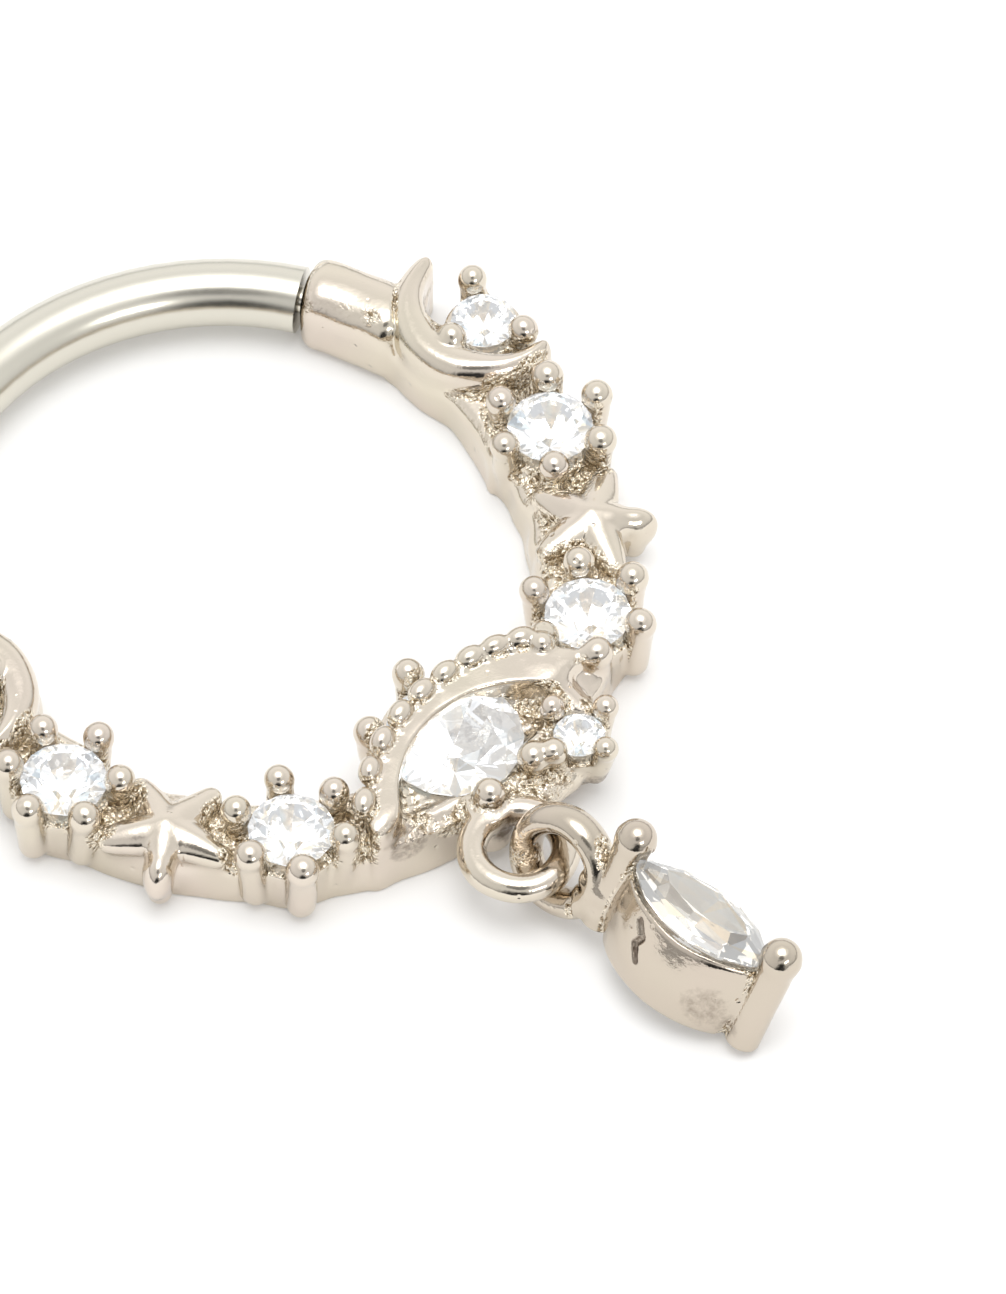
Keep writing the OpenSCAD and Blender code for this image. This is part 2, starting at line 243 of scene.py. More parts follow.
class Wax:
    def __init__(self, low, high, cell):
        self.cell = cell
        self.low = np.array(low, float)
        self.shape = np.ceil((np.array(high) - self.low) / cell).astype(int) + 1
        self.axes = [self.low[i] + cell * np.arange(self.shape[i]) for i in range(3)]
        self.d = np.full(self.shape, 1.0, np.float32)

    def region(self, box):
        """The slices of the grid round a box, and the grid's coordinates there."""
        cut = []
        for i in range(3):
            a = int(max((box[0][i] - REACH - self.low[i]) / self.cell, 0))
            b = int(min((box[1][i] + REACH - self.low[i]) / self.cell + 2, self.shape[i]))
            cut.append(slice(a, max(b, a)))
        return tuple(cut), np.ix_(*[self.axes[i][cut[i]] for i in range(3)])

    def add(self, form, soft=0.08):
        distance, box = form
        cut, (x, y, z) = self.region(box)
        self.d[cut] = soft_min(self.d[cut], distance(x, y, z), soft)

    def cut(self, form, soft=0.03):
        distance, box = form
        cut, (x, y, z) = self.region(box)
        self.d[cut] = soft_max(self.d[cut], -distance(x, y, z), soft)

    def uneven(self, amount, length):
        """Gentle swells all over, as a carved wax has."""
        x, y, z = np.ix_(*self.axes)
        for _ in range(3):
            a, b, c = random.uniform(-1, 1, 3) * 2 * math.pi / length
            turn = random.uniform(0, 2 * math.pi)
            self.d += (amount * np.sin(a * x + b * y + c * z + turn)).astype(np.float32)

    def sample(self, points):
        """The distance at any points, read between the grid's."""
        p = (points - self.low) / self.cell
        i = np.clip(np.floor(p).astype(int), 0, self.shape - 2)
        f = p - i
        total = 0
        for dx in (0, 1):
            for dy in (0, 1):
                for dz in (0, 1):
                    w = np.abs((1 - dx - f[:, 0]) * (1 - dy - f[:, 1]) * (1 - dz - f[:, 2]))
                    total = total + w * self.d[i[:, 0] + dx, i[:, 1] + dy, i[:, 2] + dz]
        return total

    def slope(self, points, h):
        steps = np.eye(3) * h
        return np.stack([self.sample(points + s) - self.sample(points - s) for s in steps], 1) / (2 * h)

    def shelter(self, points, normals):
        """How far the metal round it shelters each point: 0 in the open, 1 at the bottom of a pit."""
        total = np.zeros(len(points))
        for away in SHELTER_STEPS:
            total += 0.6 * np.clip(1 - self.sample(points + normals * away) / away, 0, 1)
        return np.clip(total - 0.2, 0, 1)

    def skin(self):
        """The surface where the distance is zero: one corner in each cell that it crosses, and its quads."""
        inside = self.d < 0
        count = np.zeros(self.shape - 1, np.int8)
        corners = [(a, b, c) for a in (0, 1) for b in (0, 1) for c in (0, 1)]
        end = self.shape - 1
        for a, b, c in corners:
            count += inside[a:end[0] + a, b:end[1] + b, c:end[2] + c]
        crossed = (count > 0) & (count < 8)
        number = np.full(crossed.shape, -1, np.int64)
        number[crossed] = np.arange(np.count_nonzero(crossed))
        cells = np.argwhere(crossed)
        total = np.zeros((len(cells), 3))
        hits = np.zeros((len(cells), 1))
        for start in corners:
            for axis in range(3):
                if start[axis]:
                    continue
                step = np.eye(3, dtype=int)[axis]
                p = cells + start
                q = p + step
                da = self.d[p[:, 0], p[:, 1], p[:, 2]]
                db = self.d[q[:, 0], q[:, 1], q[:, 2]]
                hit = (da < 0) != (db < 0)
                t = np.where(hit, da / np.where(hit, da - db, 1), 0)[:, None]
                total += np.where(hit[:, None], np.array(start) + t * step, 0)
                hits += hit[:, None]
        points = self.low + self.cell * (cells + total / hits)
        quads = []
        for axis in range(3):
            u, v = [(1, 2), (2, 0), (0, 1)][axis]
            near = [slice(1, -1)] * 3
            near[axis] = slice(0, -1)
            far = list(near)
            far[axis] = slice(1, None)
            a, b = inside[tuple(near)], inside[tuple(far)]
            for rises in (False, True):
                base = np.argwhere((a & ~b) if rises else (b & ~a))
                base[:, u] += 1
                base[:, v] += 1
                ring = []
                for du, dv in ((-1, -1), (0, -1), (0, 0), (-1, 0)):
                    c = base.copy()
                    c[:, u] += du
                    c[:, v] += dv
                    ring.append(number[c[:, 0], c[:, 1], c[:, 2]])
                quads.append(np.stack(ring if rises else ring[::-1], 1))
        return points, np.concatenate(quads)


# Forms. Each gives its distance function and the box that holds it.

def ball(at, r, stretch=(1, 1, 1), turn=0):
    """A ball, or an egg with its own stretch along each axis, turned about Z."""
    c, s = math.cos(math.radians(turn)), math.sin(math.radians(turn))
    reach = r * max(stretch)

    def distance(x, y, z):
        u = (c * (x - at[0]) + s * (y - at[1])) / stretch[0]
        v = (c * (y - at[1]) - s * (x - at[0])) / stretch[1]
        w = (z - at[2]) / stretch[2]
        return (np.sqrt(u * u + v * v + w * w) - r) * min(stretch)

    return distance, (np.array(at) - reach, np.array(at) + reach)


def finger(a, b, ra, rb):
    """A round rod from a to b, ra thick at a and rb at b, with round ends."""
    a, b = np.array(a, float), np.array(b, float)
    run = b - a
    length2 = float(run @ run)

    def distance(x, y, z):
        t = ((x - a[0]) * run[0] + (y - a[1]) * run[1] + (z - a[2]) * run[2]) / length2
        t = np.clip(t, 0, 1)
        gap = (x - a[0] - t * run[0]) ** 2 + (y - a[1] - t * run[1]) ** 2 + (z - a[2] - t * run[2]) ** 2
        return np.sqrt(gap) - (ra + t * (rb - ra))

    r = max(ra, rb)
    return distance, (np.minimum(a, b) - r, np.maximum(a, b) + r)


def drum(at, r_low, r_high, z_low, z_high, soft=0.06):
    """An upright drum whose radius changes from z_low to z_high."""
    def distance(x, y, z):
        r = r_low + (r_high - r_low) * (z - z_low) / (z_high - z_low)
        side = np.hypot(x - at[0], y - at[1]) - r
        return soft_max(soft_max(side, z - z_high, soft), z_low - z, soft)

    r = max(r_low, r_high)
    return distance, ((at[0] - r, at[1] - r, z_low), (at[0] + r, at[1] + r, z_high))


def wire_ring(at, r, wire, axis=2, flat=1.0):
    """A ring of wire about an axis. The wire is flat times as wide along the axis as it is thick."""
    def distance(x, y, z):
        p = [x - at[0], y - at[1], z - at[2]]
        along = p.pop(axis)
        return np.hypot(np.hypot(p[0], p[1]) - r, along / flat) - wire

    reach = np.full(3, r + wire)
    reach[axis] = wire * flat
    return distance, (np.array(at) - reach, np.array(at) + reach)


def block(low, high, turn=0, at=(0, 0)):
    """A plain block about a point, turned about Z."""
    c, s = math.cos(math.radians(turn)), math.sin(math.radians(turn))
    low, high = np.array(low, float), np.array(high, float)
    mid, half = (low + high) / 2, (high - low) / 2
    reach = math.hypot(*np.maximum(np.abs(low), np.abs(high))[:2])

    def distance(x, y, z):
        u = c * (x - at[0]) + s * (y - at[1])
        v = c * (y - at[1]) - s * (x - at[0])
        d = np.maximum(np.abs(u - mid[0]) - half[0], np.abs(v - mid[1]) - half[1])
        return np.maximum(d, np.abs(z - mid[2]) - half[2])

    return distance, ((at[0] - reach, at[1] - reach, low[2]), (at[0] + reach, at[1] + reach, high[2]))


def track(centre, r_in, r_out, height, a, b, lean=0.0, soft=0.2, floor=0.0, wave=0.0, foot=0.06):
    """A low wall along a circle, from angle a to b from +X, with sides that lean, and soft edges and ends."""
    middle, half = math.radians((a + b) / 2), math.radians((b - a) / 2)

    def distance(x, y, z):
        u, v = x - centre[0], y - centre[1]
        r = np.hypot(u, v)
        angle = np.arctan2(v, u)
        off = np.abs(np.angle(np.exp(1j * (angle - middle)))) - half
        ripple = wave * np.sin(angle * 23) + wave * np.sin(angle * 41 + 1)
        side = soft_max(r_in + lean * z + ripple - r, r - r_out + lean * z, 0.1)
        d = soft_max(side, z - height - ripple, soft)
        d = soft_max(d, floor - z, foot)
        return soft_max(d, off * r, max(0.1, foot))

    low = (centre[0] - r_out, centre[1] - r_out, floor)
    return distance, (low, (centre[0] + r_out, centre[1] + r_out, height))


def seat(at, d, girdle_z, gap=0.03, over=0.07):
    """The room that a round stone takes in its metal, tapered like it, up to over above its girdle."""
    slope = 0.42 / 0.47

    def distance(x, y, z):
        r = np.hypot(x - at[0], y - at[1])
        below = ((r - d / 2 - gap) - (z - girdle_z + 0.03 * d) / slope) / math.hypot(1, 1 / slope)
        return np.maximum(np.maximum(below, r - d / 2 - gap), z - girdle_z - over)

    r = d / 2 + gap
    return distance, ((at[0] - r, at[1] - r, girdle_z - 0.45 * d), (at[0] + r, at[1] + r, girdle_z + over))


def crescent(grow=0.0, height=MOON_H):
    """The moon on the +X side, as round as a bent tube on top. Its foot is the same form, grown and lower."""
    turn = math.radians(MOON_TURN)

    def distance(x, y, z):
        outer = np.hypot(x - MOON_AT[0], y - MOON_AT[1]) - MOON_R - grow
        inner = MOON_INNER_R - grow - np.hypot(x - MOON_INNER_AT[0], y - MOON_INNER_AT[1])
        tips = x * math.cos(turn) + y * math.sin(turn) - MOON_TIP
        dome = 0 if grow else 0.12 * np.clip(1 + np.maximum(outer, inner) / 0.33, 0, 1) ** 2
        d = soft_max(outer, z - height + dome, 0.3)
        d = soft_max(d, inner, 0.14)
        return soft_max(soft_max(d, tips + 5 * grow, 0.2), 0.02 - z, 0.05)

    r = MOON_R + grow
    return distance, ((MOON_AT[0] - r, MOON_AT[1] - r, 0), (MOON_AT[0] + r, MOON_AT[1] + r, height))


def star():
    """The star on the +X side: five arms with soft broad ridges, which meet in a smooth swelling."""
    a = (STAR_TIP_Z - STAR_H) / STAR_R
    notch = polar(STAR_NOTCH_R, 36)
    b = (STAR_NOTCH_Z - STAR_H - a * notch[0]) / notch[1]
    edge = np.array((notch[1], STAR_SHARP_R - notch[0]))
    edge /= np.linalg.norm(edge)

    def distance(x, y, z):
        u, v = x - STAR_AT[0], y - STAR_AT[1]
        rho = np.hypot(u, v)
        angle = np.degrees(np.arctan2(v, u))
        arm = (angle - STAR_TURN + 36) % 72 - 36
        p = rho * np.cos(np.radians(arm))
        q = np.sqrt((rho * np.sin(np.radians(arm))) ** 2 + STAR_BLUNT ** 2) - STAR_BLUNT
        tongue = np.abs((angle - STAR_TURN + 72 + 180) % 360 - 180) < 36
        reach = STAR_R - STAR_SHORT * tongue
        side = soft_max((p - STAR_SHARP_R) * edge[0] + q * edge[1], p - reach, 0.2)
        side = side + STAR_LEAN * np.maximum(STAR_TIP_Z - z, 0)
        top = (z - STAR_H - a * p - b * q) / math.sqrt(1 + a * a + b * b)
        return soft_max(soft_max(side, top, 0.26), 0.02 - z, 0.05)

    r = STAR_R
    return distance, ((STAR_AT[0] - r, STAR_AT[1] - r, 0), (STAR_AT[0] + r, STAR_AT[1] + r, STAR_H))


def lid_outline(x, y):
    """Distance to the lid's outer outline, an arc along the beads that turns down at both ends."""
    along_beads = np.hypot(x - BEAD_LINE_AT[0], y - BEAD_LINE_AT[1]) - BEAD_LINE_R - 0.02
    return soft_max(np.hypot(x - LID_AT[0], y - LID_AT[1]) - LID_R, along_beads, 0.2)


def upper_lid():
    """The eye's upper lid: an arched band, rounded towards its beads and crisp at its rim over the stone."""
    def distance(x, y, z):
        outer = lid_outline(x, y)
        inner = LID_INNER_R - np.hypot(x - LID_INNER_AT[0], y - LID_INNER_AT[1])
        top = z - LID_H + 0.05 * np.clip(1 + outer / 0.3, 0, 1)
        d = soft_max(soft_max(outer, top, 0.08), inner, 0.07)
        return soft_max(soft_max(d, LID_END[0] + LID_END[1] * x - y, 0.3), 0.01 - z, 0.05)

    r = LID_R
    return distance, ((LID_AT[0] - r, LID_END[0] - 0.3, 0), (LID_AT[0] + r, LID_AT[1] + r, LID_H))


def eye_floor():
    """The rough floor of the eye between its lids, round the stone's setting."""
    def distance(x, y, z):
        upper = lid_outline(x, y) + 0.05
        lower = np.hypot(x, y + ROW_OUT) - LOWER_LID[1] + 0.05
        rough = 0.03 * np.sin(17 * x + 9 * y) * np.sin(23 * y - 7 * x)
        return soft_max(soft_max(upper, lower, 0.1), np.maximum(z - EYE_FLOOR_Z - rough, 0.02 - z), 0.06)

    low = (LID_AT[0] - LID_R, -LOWER_LID[1] - ROW_OUT, 0)
    return distance, (low, (LID_AT[0] + LID_R, LID_AT[1] + LID_R, EYE_FLOOR_Z + 0.03))


def in_place(form, inward=0.0):
    """The form where it was modelled, on the +X side. It takes what mirrored takes."""
    return form


def mirrored(form, inward=0.0):
    """The same form on the -X side, and so many millimetres nearer to the ring's centre."""
    distance, (low, high) = form
    box = ((inward - high[0], low[1], low[2]), (inward - low[0], high[1], high[2]))
    return lambda x, y, z: distance(inward - x, y, z), box


def prong(wax, at, stone_d, girdle_z, a, shape, foot_z=0.05, lean=5):
    """One prong: a stout rod that leans out from its foot, and the round tip that holds the stone."""
    outside, tip_r, rod_r = shape
    tip_z = girdle_z + TIP_UP
    top = np.array((*(np.array(at) + polar(stone_d / 2 + outside, a)), tip_z))
    top += random.normal(0, HAND, 3)
    under = top[:2] - polar(math.tan(math.radians(lean)) * (tip_z - foot_z), a)
    foot = (*under, foot_z + rod_r)
    wax.add(finger(foot, top - (0, 0, 0.04), rod_r, rod_r * random.uniform(0.97, 1.03)), 0.1)
    wax.add(ball(top, tip_r * random.uniform(0.96, 1.04), (1, 1, random.uniform(0.92, 1.08))), 0.09)


def row_setting(wax, angle, turn):
    """The cup and six prongs of one stone of the row. Those on the ring's outer side are stouter."""
    at = row_place(angle)
    wax.add(drum(at, *ROW_CUP), 0.14)
    for k in range(6):
        a = turn + 60 * k
        outer = math.cos(math.radians(a - (angle - 90))) > 0.2
        prong(wax, at, ROW_STONE_D, ROW_GIRDLE_Z, a, ROW_OUTER_PRONG if outer else ROW_PRONG)


def moon_and_star(wax, side):
    """The moon and its cup, the star and the ramp behind it. side puts each form on its side of the ring."""
    wax.add(side(track((0, 0), *MOON_WALL, lean=0.05, soft=0.3, floor=0.01)), 0.2)
    wax.add(side(crescent(0.05, MOON_FOOT_H), MOON_2_IN), 0.15)
    wax.add(side(crescent(), MOON_2_IN), 0.05)
    wax.add(side(star()), 0.12)
    towards = STAR_TURN - 72
    toe = np.array(STAR_AT) + polar(STAR_TOE, towards)
    wax.add(side(finger((*STAR_AT, STAR_H - 0.34), (*toe, STAR_TOE_Z + 0.12), 0.3, 0.26)), 0.14)
    wax.add(side(ball((*toe, STAR_TOE_Z), STAR_TOE_R, STAR_TOE_STRETCH, towards)), 0.12)
    wax.add(side(finger((*toe, STAR_TOE_Z - 0.15), (*toe, 0.28), 0.25, 0.22)), 0.1)
    outward = np.array((STAR_AT[0], STAR_AT[1] + ROW_OUT)) / math.hypot(STAR_AT[0], STAR_AT[1] + ROW_OUT)
    ramp = np.array(STAR_AT) - 0.35 * outward
    wax.add(side(finger((*ramp, 0.6), (*(ramp - 0.42 * outward), 0.44), 0.4, 0.36)), 0.12)
    wax.add(side(drum(MOON_STONE_AT, *MOON_CUP), MOON_2_IN), 0.12)


def cast_front_wax(cell):
    """The whole front: first what is fused together, then the stones' seats and the room for the bar."""
    wax = Wax(*FRONT_WAX, cell)
    ends(wax)
    moon_room = drum(MOON_AT, MOON_R - 0.04, MOON_R - 0.06, 0.3, 2)
    wax.cut(moon_room, 0.05)
    wax.cut(mirrored(moon_room, MOON_2_IN), 0.05)
    run = (-90 - ROW_HALF, -90 + ROW_HALF)
    wax.add(track((0, -ROW_OUT), RAIL_IN, RAIL_OUT, RAIL_H, *run, lean=0.16, soft=0.3, wave=0.012))
    wax.cut(drum(row_place(*SCOOP), SCOOP_R, SCOOP_R, -1, 2), 0.2)
    for side in (in_place, mirrored):
        moon_and_star(wax, side)
    for a in MOON_PRONGS:
        prong(wax, MOON_STONE_AT, MOON_STONE_D, MOON_GIRDLE_Z, a, MOON_PRONG)
    for a in MOON_PRONGS:
        prong(wax, MOON_2_STONE_AT, MOON_STONE_D, MOON_GIRDLE_Z, 180 - a, MOON_PRONG)
    for angle, turn in ROW_STONES:
        row_setting(wax, angle, turn)
    eye(wax)
    side_setting(wax)
    wax.add(drum(LUG_AT, *LUG), 0.12)
    wax.add(wire_ring(FIXED_LOOP_AT, FIXED_LOOP_R, LOOP_WIRE_R), 0.06)
    for angle, _ in ROW_STONES:
        wax.cut(seat(row_place(angle), ROW_STONE_D, ROW_GIRDLE_Z))
    for at in (MOON_STONE_AT, MOON_2_STONE_AT):
        wax.cut(seat(at, MOON_STONE_D, MOON_GIRDLE_Z))
    wax.cut(seat(EYE_AT, EYE_STONE_D, EYE_GIRDLE_Z, 0.02))
    wax.cut(seat(SIDE_AT, SIDE_STONE_D, SIDE_GIRDLE_Z))
    wax.cut(ball(PIT_AT, PIT_R), 0.12)
    room_for_the_bar(wax)
    wax.uneven(0.004, 0.8)
    wax.cut(block((-50, -50, -1), (50, 50, 0)), 0.02)
    return wax


PIN_AT = polar(BLOCK_R, HINGE_AT)


def ends(wax):
    """The socket and the hinge block."""
    sides = (BLOCK_R - BLOCK_W / 2, BLOCK_R + BLOCK_W / 2, BLOCK_H)
    wax.add(track((0, 0), *sides, SOCKET_FROM, SOCKET_END, soft=0.7, foot=0.35), 0.05)
    wax.add(track((0, 0), *sides, HINGE_AT + 1, HINGE_END, soft=0.4), 0.06)
    wax.add(drum(PIN_AT, HINGE_R, HINGE_R, 0.02, BLOCK_H - 0.02, 0.3), 0.05)


def room_for_the_bar(wax):
    """The slot and the pin's hole at the hinge, and the recess in the socket."""
    low_z, high_z = BAR_Z - SLOT_H / 2, BAR_Z + SLOT_H / 2
    wax.cut(block((*SLOT[0], low_z), (*SLOT[1], high_z), HINGE_TURN, PIN_AT), 0.02)
    wax.cut(drum(PIN_AT, PIN_HOLE_R, PIN_HOLE_R, -1, 3, 0.01), 0.02)
    low_z, high_z = BAR_Z - RECESS_H / 2, BAR_Z + RECESS_H / 2
    wax.cut(block((*RECESS[0], low_z), (*RECESS[1], high_z), SOCKET_END), 0.02)


def eye(wax):
    """The eye: its cup, floor, lids and prongs, the metal between it and its neighbours, and its beads."""
    wax.add(drum(EYE_AT, *EYE_CUP), 0.1)
    wax.add(eye_floor(), 0.1)
    run = (-90 - LOWER_LID_HALF, -90 + LOWER_LID_HALF)
    wax.add(track((0, -ROW_OUT), *LOWER_LID, *run, lean=0.2, floor=0.02, foot=0.2), 0.12)
    wax.add(upper_lid(), 0.18)
    # From the lug to the small stone's setting, from the lid to that setting, and beside the lid's end
    wax.add(finger((0.25, -7.72, 0.6), (1.15, -7.72, 0.64), 0.36, 0.36), 0.25)
    wax.add(finger((1.95, -6.3, 1.26), (2.06, -7.2, 1.0), 0.36, 0.28), 0.2)
    wax.add(ball((2.6, -6.6, 0.92), 0.34), 0.25)
    for a in EYE_PRONGS:
        prong(wax, EYE_AT, EYE_STONE_D, EYE_GIRDLE_Z, a, EYE_PRONG)
    for i in range(BEAD_COUNT):
        a = BEAD_FIRST + BEAD_STEP * i + BEAD_GROWTH * i * i
        at = np.array(BEAD_LINE_AT) + polar(BEAD_LINE_R, a)
        wax.add(ball((*at, BEAD_Z), BEAD_R, BEAD_STRETCH, a + random.normal(0, 5)), 0.04)
        between = a + (BEAD_STEP + BEAD_GROWTH * (2 * i + 1)) / 2
        nub = np.array(BEAD_LINE_AT) + polar(BEAD_LINE_R - NUB_IN, between)
        if i < BEAD_COUNT - 1:
            wax.add(ball((*nub, BEAD_Z - 0.02), NUB_R), 0.04)
    wax.add(ball((*LAST_BEAD_AT, BEAD_Z), LAST_BEAD_R), 0.08)


def side_setting(wax):
    """The cup and four prongs of the small stone beside the eye. They stand on the cup and lean out more."""
    wax.add(drum(SIDE_AT, *SIDE_CUP, 0.1), 0.1)
    for k in range(4):
        prong(wax, SIDE_AT, SIDE_STONE_D, SIDE_GIRDLE_Z, SIDE_TURN + 90 * k, SIDE_PRONG, 0.3, 12)


# Drop

def oval_distance(x, y, length, width, mid_y):
    """Distance to a pointed oval made of two equal arcs, its long axis along Y."""
    r = (length * length + width * width) / (4 * width)
    return np.hypot(np.abs(x) + r - width / 2, y - mid_y) - r


def oval_tube(length, width, z_low, z_high, soft=0.06, bulge=0.0, keel=0.0):
    """An upright tube on a pointed oval.

    Its wall swells by bulge halfway up, and its +X side curves in by keel at the foot.
    """
    mid_y = -DROP_NECK - DROP_SPAN / 2

    def distance(x, y, z):
        t = np.clip((z - z_low) / (z_high - z_low), 0, 1)
        side = oval_distance(x, y, length, width, mid_y) - bulge * np.sin(t * math.pi)
        side = side + keel * np.clip(1 - t / 0.6, 0, 1) ** 2 * np.clip(0.4 + x, 0.1, 1)
        return soft_max(soft_max(side, z - z_high, soft), z_low - z, soft)

    half = width / 2 + bulge
    return distance, ((-half, mid_y - length / 2 - bulge, z_low), (half, mid_y + length / 2 + bulge, z_high))


# Flaws of the casting in the drop's frame, each a line of points cut in with a fine tool: a crack down the
# basket's wall, and the seam between the loop and its prong
CRACK = ((-0.79, -2.05, 0.72), (-0.865, -2.25, 0.52), (-0.86, -2.18, 0.32), (-0.9, -2.34, 0.05))
SEAM = ((-0.31, -0.5, -0.33), (-0.34, -0.61, -0.52), (-0.28, -0.7, -0.74))
FLAW_R = (0.065, 0.055)


def drop_wax(cell):
    """The drop in its own frame: basket, prongs, the room for its stone, its loop and neck, and its flaws."""
    wax = Wax(*DROP_WAX, cell)
    wax.add(oval_tube(*BASKET, *BASKET_Z, 0.14, BASKET_BULGE, BASKET_KEEL), 0.05)
    foot_z = DROP_BALL_Z - DROP_PRONG_H
    for y in (-DROP_NECK, -DROP_NECK - DROP_SPAN):
        wax.add(drum((0, y), DROP_PRONG_R + 0.02, DROP_PRONG_R + 0.03, foot_z, DROP_BALL_Z, 0.08), 0.05)
        wax.add(ball((0, y, DROP_BALL_Z), DROP_BALL_R), 0.12)
    inside = (BASKET[0] - 4 * BASKET_WALL, BASKET[1] - 2 * BASKET_WALL)
    wax.cut(oval_tube(*inside, BASKET_Z[0] - 1, BASKET_Z[1] + 1), 0.04)
    room = (MARQUISE[0] + 2 * MARQUISE_GAP, MARQUISE[1] + 2 * MARQUISE_GAP)
    wax.cut(oval_tube(*room, DROP_GIRDLE_Z - 0.16, DROP_GIRDLE_Z + 0.3), 0.03)
    wax.add(wire_ring((0, 0, 0), DROP_LOOP_R, LOOP_WIRE_R, 0, DROP_LOOP_FLAT), 0.08)
    for z in DROP_NECK_Z:
        wax.add(finger((0, -0.7, z), (0, -1, z), 0.3, 0.34), 0.04)
    for flaw in (CRACK, SEAM):
        for a, b in zip(flaw, flaw[1:]):
            wax.cut(finger(a, b, *FLAW_R), 0.02)
    wax.uneven(0.003, 0.9)
    return wax


def moved_to(x, y, z):
    """The matrix that puts a piece at a point, given in millimetres."""
    return Matrix.Translation(Vector((x, y, z)) * MM)


def drop_matrix():
    turn = Euler([math.radians(a) for a in DROP_TURN], "XYZ").to_matrix().to_4x4()
    return moved_to(*DROP_AT) @ turn


# From wax to metal

def plain_mesh(name, points, faces):
    mesh = bpy.data.meshes.new(name)
    mesh.vertices.add(len(points))
    mesh.vertices.foreach_set("co", np.asarray(points, np.float32).ravel())
    sides = faces.shape[1]
    mesh.loops.add(faces.size)
    mesh.loops.foreach_set("vertex_index", faces.astype(np.int32).ravel())
    mesh.polygons.add(len(faces))
    mesh.polygons.foreach_set("loop_start", np.arange(0, faces.size, sides, dtype=np.int32))
    mesh.update(calc_edges=True)
    return mesh


def points_of(mesh):
    points = np.zeros(len(mesh.vertices) * 3, np.float32)
    mesh.vertices.foreach_get("co", points)
    return points.reshape(-1, 3).astype(float)


# Places that were never cleaned after casting. Columns: X, Y, Z and radius.
RAW_SPOTS = ((-1.75, -6.95, 1.0, 0.55),
             (-2.75, -6.7, 1.0, 0.4),
             (0.15, -7.85, 0.9, 0.5),
             (1.5, -6.65, 0.9, 0.55),
             (0.75, -7.8, 0.8, 0.55),
             (4.86, 1.5, 1.4, 0.26))
DROP_RAW_SPOTS = ((0, 0.75, -0.4, 0.5),
                  (0, -0.3, -0.75, 0.4))

# Places that the tumbling reached. Columns: X, Y, Z and radius.
TUMBLED_SPOTS = ((4.95, 1.25, 1.0, 0.75),
                 (5.6, -4.75, 0.85, 1.1),
                 (-5.6, -4.75, 0.85, 1.1),
                 (2.65, -6.65, 1.0, 0.7))

# Stains and painted shade: brown plating stains, and painted shade in a recess. Columns: a form, how far
# inside it the darkening is full, and how dark it is.
# The first is painted shade in the recess between the eye's prong and the loops; the other two are brown
# stains
STAINS_AND_SHADE = ((ball((-0.35, -7.78, 0.85), 0.5), 0.15, 0.75),
          (ball((1.75, -8.05, 0.45), 0.5), 0.2, 0.6),
          (ball((-2.0, -7.2, 0.95), 0.5), 0.2, 0.5))
# Painted shade along the crack in the drop's basket, full inside it
CRACK_SHADE = tuple((finger(a, b, 0.11, 0.1), 0.06, 1.0) for a, b in zip(CRACK, CRACK[1:]))
# The drop's: the crack's painted shade, and brown stains low down near its far prong
DROP_STAINS_AND_SHADE = (*CRACK_SHADE,
               (ball((-0.62, -3.75, 0.0), 0.75), 0.5, 0.42),
               (ball((-0.35, -4.15, -0.25), 0.45), 0.4, 0.5))


def thin_out(obj, ratio):
    """Thins the object's mesh to a share of its triangles."""
    thin = obj.modifiers.new("thin", "DECIMATE")
    thin.ratio = ratio
    thinned = bpy.data.meshes.new_from_object(obj.evaluated_get(bpy.context.evaluated_depsgraph_get()))
    obj.modifiers.clear()
    obj.data = thinned


def unit(vectors):
    return vectors / (np.linalg.norm(vectors, axis=1, keepdims=True) + 1e-9)


def distance_from(spot, points):
    return np.linalg.norm(points - spot[:3], axis=1)


def keep_values(mesh, name, values):
    """Stores a number for each corner of a mesh, which the metal reads by name."""
    mesh.attributes.new(name, "FLOAT", "POINT").data.foreach_set("value", values.astype(np.float32))


def cast(name, wax, material, place=Matrix.Identity(4), raw_spots=(), tumbled_spots=(), stains_and_shade=(),
         cleaned_to=-9.0):
    """Turns a wax model into a metal piece: its skin, thinned if need be and drawn back onto the form.

    Pits lower than cleaned_to are worn smooth.
    """
    points, quads = wax.skin()
    obj = bpy.data.objects.new(name, plain_mesh(name, points, quads))
    bpy.context.scene.collection.objects.link(obj)
    if 2 * len(quads) > MOST_TRIANGLES:
        thin_out(obj, MOST_TRIANGLES / (2 * len(quads)))
    mesh = obj.data
    p = points_of(mesh)
    for _ in range(2):
        p -= np.clip(wax.sample(p), -wax.cell, wax.cell)[:, None] * unit(wax.slope(p, wax.cell))
    normals = unit(wax.slope(p, wax.cell * 0.8))
    shelter = wax.shelter(p, normals) * np.clip((p[:, 2] - cleaned_to) / 0.4, 0.15, 1)
    for spot in tumbled_spots:
        shelter *= np.clip(2 * distance_from(spot, p) / spot[3] - 1, 0.2, 1)
    for spot in raw_spots:
        shelter = np.maximum(shelter, 0.6 * np.clip(2 - 2 * distance_from(spot, p) / spot[3], 0, 1))
    keep_values(mesh, "shelter", shelter)
    # Stains, and painted shade in a few recesses, kept as a darkness for each corner
    stain_and_shade = np.zeros(len(p))
    for (distance, _), full, dark in stains_and_shade:
        stain_and_shade = np.maximum(stain_and_shade, dark * np.clip(-distance(*p.T) / full, 0, 1))
    keep_values(mesh, "stain_and_shade", stain_and_shade)
    mesh.vertices.foreach_set("co", (p * MM).astype(np.float32).ravel())
    mesh.shade_smooth()
    mesh.normals_split_custom_set_from_vertices(normals.astype(np.float32))
    mesh.transform(place)
    mesh.materials.append(material)
    mesh.update()
    return obj


# Stones

# Two corners of a stone that are closer than this, in millimetres, are one
SAME_CORNER = 0.0005


